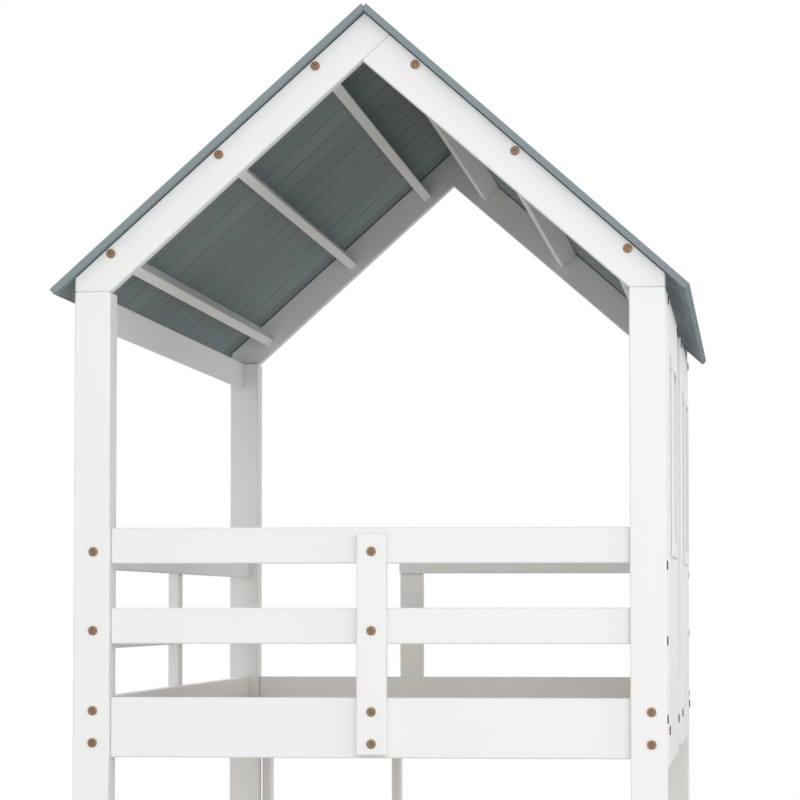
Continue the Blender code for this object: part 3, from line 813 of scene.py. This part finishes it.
count = 0
for end in ("front", "back"):
    strips = []
    for side in ("left", "right"):
        low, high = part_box("rafter_" + end + "_" + side)
        strips += [lay_shadow_strip(side, low.y, 1), lay_shadow_strip(side, high.y, -1)]
    count += len(strips)
    shadow_strips = weld(strips, "roof_shadow_lines_" + end)
    coat(shadow_strips, shadow_strip_black)
    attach(shadow_strips, "frame")
print("black shadow strips", count, "of", round((ridge - shoulder).length - 2 * shadow_line_ends, 3), "m")

# %% [markdown]
# ## Ladder and trundle bolts
# The ladder is bolted from inside the bed, through the end rails, so that nothing stands
# out where feet go. The trundle's front and back boards take two small bolts over each of
# its end boards.

# %% Ladder and trundle fixings
small_bolt_radius = 0.0065
small_bolt_height = 0.0018
small_bolt = bolt_head("small_bolt_pattern", small_bolt_radius, small_bolt_height)
ladder_levels = {"upper": 1.045, "lower": 0.300}
count = 0
for level_name, level in ladder_levels.items():
    rail_inner_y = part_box(level_name + "_back_bed_rail")[0].y
    places = []
    for side in ("left", "right"):
        low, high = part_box("ladder_side_" + side)
        places.append(((low.x + high.x) / 2, rail_inner_y, level))
    count += fasten("ladder_bolts_" + level_name, small_bolt, places, (0, -1, 0), bronze,
                    "frame")

trundle_bolt_levels = (0.060, 0.140)
for board, facing in (("front", 1), ("back", -1)):
    low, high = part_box("trundle_" + board + "_board")
    face_x = high.x if facing > 0 else low.x
    places = []
    for end in ("front", "back"):
        end_low, end_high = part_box("trundle_end_board_" + end)
        places += [(face_x, (end_low.y + end_high.y) / 2, level)
                   for level in trundle_bolt_levels]
    count += fasten("trundle_bolts_" + board, small_bolt, places, (facing, 0, 0), bronze,
                    "trundle")
bpy.data.objects.remove(small_bolt)
bpy.data.objects.remove(bolt)
print("ladder and trundle bolts", count)

# %% [markdown]
# ## Slatted bases
# Each bunk lies on slats of planed pine, screwed to a bearer along each side. The CAD
# keeps a base as one solid, which is right for its strength but hides its making. So here
# every slat is a board of its own: a cube at its size, with its edges rounded by a bevel
# in edit mode. One slat is modelled and copied along the bed at its pitch. The copies carry
# a number, which the pine uses to change its rings.

# %% A planed board and its copies
def planed_board(name, low, high, ease):
    """A board between two corners with all its edges rounded."""
    low, high = Vector(low), Vector(high)
    bpy.ops.mesh.primitive_cube_add(size=1, location=(low + high) / 2, scale=high - low)
    piece = bpy.context.object
    piece.name = name
    settle([piece])
    edit(piece, "EDGE")
    bpy.ops.mesh.select_all(action="SELECT")
    bpy.ops.mesh.bevel(offset=ease, segments=2, affect="EDGES")
    close_edit()
    smooth(piece)
    return piece


def number_board(piece, number):
    """Give every point of a board the board's own number."""
    mark = piece.data.attributes.new("board_number", "FLOAT", "POINT")
    for point in mark.data:
        point.value = number


def repeat_board(name, pattern, count, pitch, first_number):
    """Copies of a board along Y, numbered and joined."""
    copies = []
    for index in range(count):
        copy = twin(pattern)
        number_board(copy, first_number + index)
        copy.location.y = index * pitch
        copies.append(copy)
    settle(copies)
    bpy.data.objects.remove(pattern)
    return weld(copies, name)


slat_ease = 0.0025
bearer_ease = 0.0015
print("slat edges rounded by", slat_ease * 1000, "mm")

# %% [markdown]
# ## A countersunk screw
# Small zinc screws hold the slats. The head is a twelve-sided disc whose rim slopes, with a
# cross cut into it. There are dozens, so each has only a few faces: an inset and a sunk
# middle stand for the cross, which is under a millimetre deep.

# %% Model the screw head
screw_sides = 12
screw_radius = 0.0035
screw_height = 0.0006
screw_slope = screw_radius * 0.18
screw_rise = screw_height * 0.35
screw_flat = screw_radius * 0.38
recess_slope = screw_radius * 0.10
recess_depth = screw_height * 0.9


def screw_head(name):
    """A small screw head that lies on the floor and looks up."""
    bpy.ops.mesh.primitive_cylinder_add(vertices=screw_sides, radius=screw_radius,
                                        depth=screw_height, location=(0, 0, screw_height / 2))
    head = bpy.context.object
    head.name = name
    settle([head])
    edit(head)
    pick_faces(head, looks_up)
    bpy.ops.mesh.inset(thickness=screw_slope)
    bpy.ops.transform.translate(value=(0, 0, screw_rise))
    bpy.ops.mesh.inset(thickness=screw_flat)
    bpy.ops.mesh.inset(thickness=recess_slope)
    bpy.ops.transform.translate(value=(0, 0, -recess_depth))
    close_edit()
    smooth(head)
    return head


screw = screw_head("screw_pattern")
print("screw faces", len(screw.data.polygons))

# %% [markdown]
# ## Building the three bases
# The boards fill the box of the CAD base that they replace: bearers along the side rails,
# slats lying on them, and two screws at each end of every slat. The CAD lets the slats two
# millimetres into the bearers, so that its base is one solid. Here the boards only touch,
# or their faces would cross inside the wood.

# %% Slats, bearers and screws
slat_width = 0.065
slat_thickness = 0.014
slat_inset = 0.001
slat_end_inset = 0.0017
screw_shares = (0.27, 0.73)
bases = {
    "upper": {"body": "frame", "count": 13, "bearer_width": 0.024},
    "lower": {"body": "frame", "count": 13, "bearer_width": 0.024},
    "trundle": {"body": "trundle", "count": 12, "bearer_width": 0.046},
}
first_number = 1
for base_name, base in bases.items():
    node = base_name + "_slatted_base"
    low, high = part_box(node)
    slat_bottom = high.z - slat_thickness
    pitch = (high.y - low.y - 2 * slat_inset - slat_width) / (base["count"] - 1)
    first_y = low.y + slat_inset
    slat = planed_board(base_name + "_slat",
                        (low.x + slat_end_inset, first_y, slat_bottom),
                        (high.x - slat_end_inset, first_y + slat_width, high.z), slat_ease)
    slats = repeat_board(base_name + "_slats", slat, base["count"], pitch, first_number)
    first_number += base["count"]
    coat(slats, pines["across"])
    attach(slats, base["body"])
    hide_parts(node)

    bearers = []
    screw_places = []
    for x_low in (low.x, high.x - base["bearer_width"]):
        x_high = x_low + base["bearer_width"]
        bearer = planed_board("bearer", (x_low, low.y, low.z),
                              (x_high, high.y, slat_bottom), bearer_ease)
        number_board(bearer, first_number)
        first_number += 1
        bearers.append(bearer)
        for index in range(base["count"]):
            y = first_y + index * pitch
            screw_places += [((x_low + x_high) / 2, y + slat_width * share, high.z)
                             for share in screw_shares]
    bearers = weld(bearers, base_name + "_bearers")
    coat(bearers, pines["along"])
    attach(bearers, base["body"])
    fasten(base_name + "_slat_screws", screw, screw_places, (0, 0, 1), zinc, base["body"])
    print(base_name, "slats", base["count"], "pitch", round(pitch, 4), "screws",
          len(screw_places))

# %% [markdown]
# ## Caster wheels
# A small furniture caster has a rubber tyre on a nylon hub. Both are turned parts, so each
# starts as a cylinder lying on its side. For the tyre we inset both faces and bridge the
# inner ones, which opens the ring, and then bevel the tread round. The hub gets a dished
# face, a raised boss and a bore for the axle. Spinning a profile would do as well, but this
# way each ring is one step that can be seen.

# %% Tyre and hub
wheel_sides = 40
tyre_radius = 0.020
tyre_width = 0.018
tyre_lip = 0.0015
tyre_lip_depth = 0.0012
tread_round = 0.004
slack = 0.0005
hub_radius = 0.0132
hub_width = 0.0150
hub_rim = 0.0016
dish_slope = 0.0010
hub_dish = 0.0022
boss_radius = 0.0062
boss_slope = 0.0006
boss_rise = 0.0024
bore_radius = 0.0033


def lying_cylinder(name, radius, width):
    """A cylinder whose axis lies along Y, as those of the trundle's wheels do."""
    bpy.ops.mesh.primitive_cylinder_add(vertices=wheel_sides, radius=radius, depth=width,
                                        rotation=(quarter, 0, 0))
    piece = bpy.context.object
    piece.name = name
    settle([piece])
    return piece


def is_cap(face):
    """A test for the two round faces of a lying cylinder."""
    return abs(face.normal.y) > facing_share and len(face.verts) == wheel_sides


def is_tread_edge(edge):
    """A test for the edges that run round the tread's two shoulders."""
    first, second = [vert.co for vert in edge.verts]
    outer = all(math.hypot(at.x, at.z) > tyre_radius - slack for at in (first, second))
    return outer and abs(first.y - second.y) < slack


def round_tyre(name):
    """A rubber ring with a rounded tread and a sunk lip round its opening."""
    tyre = lying_cylinder(name, tyre_radius, tyre_width)
    edit(tyre)
    pick_faces(tyre, is_cap)
    bpy.ops.mesh.inset(thickness=tyre_radius - hub_radius - tyre_lip)
    bpy.ops.mesh.inset(thickness=tyre_lip, depth=-tyre_lip_depth)
    bpy.ops.mesh.bridge_edge_loops()
    bpy.ops.mesh.select_mode(type="EDGE")
    pick_edges(tyre, is_tread_edge)
    bpy.ops.mesh.bevel(offset=tread_round, segments=4, affect="EDGES")
    close_edit()
    smooth(tyre)
    return tyre


def dished_hub(name):
    """A nylon hub with a dish and a boss on both faces and a bore through them."""
    hub = lying_cylinder(name, hub_radius, hub_width)
    edit(hub)
    pick_faces(hub, is_cap)
    bpy.ops.mesh.inset(thickness=hub_rim)
    bpy.ops.mesh.inset(thickness=dish_slope, depth=-hub_dish)
    bpy.ops.mesh.inset(thickness=hub_radius - hub_rim - dish_slope - boss_radius - boss_slope)
    bpy.ops.mesh.inset(thickness=boss_slope, depth=boss_rise)
    bpy.ops.mesh.inset(thickness=boss_radius - bore_radius)
    bpy.ops.mesh.bridge_edge_loops()
    close_edit()
    smooth(hub)
    return hub


tyre_pattern = round_tyre("tyre_pattern")
hub_pattern = dished_hub("hub_pattern")
for end, side in corners:
    place = end + "_" + side
    low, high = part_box("caster_wheel_" + place)
    middle = (low + high) / 2
    for pattern, kind, material in ((tyre_pattern, "tyre", tyre_rubber),
                                    (hub_pattern, "hub", hub_nylon)):
        part = twin(pattern)
        part.location = middle
        settle([part])
        part = weld([part], "caster_" + kind + "_" + place)
        coat(part, material)
        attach(part, "wheel_" + place)
        if kind == "tyre":
            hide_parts("caster_wheel_" + place)
    print("wheel", place, "at", [round(value, 4) for value in middle])
bpy.data.objects.remove(tyre_pattern)
bpy.data.objects.remove(hub_pattern)

# %% [markdown]
# ## Screws that hold the casters
# Each fork's plate is screwed up into the bearer with a screw near each corner. The heads
# look down, so they are seen only when the trundle is tipped or viewed from below.

# %% Fork screws
plate_half_x = 0.0145
plate_half_y = 0.0165
plate_thickness = 0.0025
count = 0
for end, side in corners:
    low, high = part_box("caster_fork_" + end + "_" + side)
    middle = (low + high) / 2
    under = high.z - plate_thickness
    places = [(middle.x + x * plate_half_x, middle.y + y * plate_half_y, under)
              for x in (-1, 1) for y in (-1, 1)]
    count += fasten("caster_screws_" + end + "_" + side, screw, places, (0, 0, -1), zinc,
                    "trundle")
bpy.data.objects.remove(screw)
print("caster screws", count)

# %% [markdown]
# ## Floor and daylight
# A catalogue picture has a white ground. The floor is a wide disc that keeps the bed's
# shadow near it and turns into plain white further out, so that it never shows an edge.
# Only the camera sees it that bright: the light that it throws back on the bed is that of
# a pale grey floor, or the undersides would glow. The sky is treated the same way.

# %% The floor
floor_radius = 60.0
floor_sides = 128
floor_seen = 0.93
floor_thrown = 0.62
fade_start = 2.2
fade_length = 5.0
floor_drop = 0.0005
bpy.ops.mesh.primitive_circle_add(vertices=floor_sides, radius=floor_radius,
                                  fill_type="NGON", location=(0, 0, -floor_drop))
floor = bpy.context.object
floor.name = "studio_floor"
settle([floor])
finish = new_finish("studio_floor")
at = finish.place()
to_camera = finish.wire("LightPath", "Is Camera Ray")
distance = finish.wire("VectorMath", "Value", {"operation": "LENGTH"}, {0: at})
far = finish.held((distance - fade_start) / fade_length)
pale = (floor_seen,) * 3
grey = (floor_thrown,) * 3
matt = finish.wire("BsdfDiffuse", 0, None, {"Color": finish.mix(to_camera, grey, pale),
                                            "Roughness": 0.0})
white = finish.wire("Emission", 0, None, {"Color": (1.0, 1.0, 1.0), "Strength": 1.0})
blend = finish.wire("MixShader", 0, None, {0: far * to_camera, 1: matt, 2: white})
finish.node("OutputMaterial", None, {"Surface": blend})
floor.data.materials.append(finish.owner)
print("floor radius", floor_radius)

# %% [markdown]
# ## Lamps
# The picture's front faces are the brightest, and nothing throws a hard shadow. So a wide
# soft lamp stands in front, a little to the right and above the bed's middle. A second one
# on the right is weaker and lights the outer faces, and a third above and behind keeps the
# back readable. The sky fills in the rest.

# %% Sky and lamps
sky_light = 0.84
sky = Finish(bpy.data.worlds.new("studio_sky"))
path = sky.node("LightPath")
seen = Wire(sky, path.outputs["Is Camera Ray"]) + Wire(sky, path.outputs["Is Glossy Ray"])
seen = sky.maths("ADD", seen, Wire(sky, path.outputs["Is Transmission Ray"]), True)
soft = sky.wire("Background", 0, None, {"Color": (1.0, 1.0, 1.0), "Strength": sky_light})
bright = sky.wire("Background", 0, None, {"Color": (1.0, 1.0, 1.0), "Strength": 1.0})
shown = sky.wire("MixShader", 0, None, {0: seen, 1: soft, 2: bright})
sky.node("OutputWorld", None, {"Surface": shown})
scene.world = sky.owner


def lamp(name, place, target, width, height, watts):
    """A rectangular lamp that looks at a target and is never seen itself."""
    bpy.ops.object.light_add(type="AREA", location=place)
    made = bpy.context.object
    made.name = name
    made.data.shape = "RECTANGLE"
    made.data.size = width
    made.data.size_y = height
    made.data.energy = watts
    made.visible_camera = False
    made.rotation_mode = "QUATERNION"
    made.rotation_quaternion = (Vector(target) - Vector(place)).to_track_quat("-Z", "Y")


lamp("key_lamp", (1.4, -7.7, 2.3), (0, 0, 1.2), 6.0, 2.9, 136.0)
lamp("side_lamp", (8.0, -3.0, 1.5), (0, 0, 1.4), 5.0, 2.9, 92.0)
lamp("back_lamp", (-3.0, 6.0, 5.0), (0, 0, 1.2), 4.0, 4.0, 90.0)
print("sky", sky_light)

# %% [markdown]
# ## The camera
# The picture was taken with a long lens, level with the guard rails and off to the right.
# The camera stands there and turns to the middle of the picture. A shifted lens would keep
# the posts dead parallel, but it would also push the bed out of every other view, and the
# turn costs five pixels at most.

# %% Camera
camera_place = (0.70934, -7.44923, 1.28501)
camera_up = math.radians(3.342)
camera_left = math.radians(5.769)
camera_lens = 159.62
sensor_width = 36.0
bpy.ops.object.camera_add(location=camera_place,
                          rotation=(quarter + camera_up, 0, camera_left))
camera = bpy.context.object
camera.name = "catalogue_camera"
camera.data.lens = camera_lens
camera.data.sensor_width = sensor_width
scene.camera = camera
scene.view_settings.view_transform = "Standard"
print("camera", camera_place, "lens", camera_lens)

# %% [markdown]
# ## Last step
# The script ends with nothing selected.

# %% Finish
deselect()
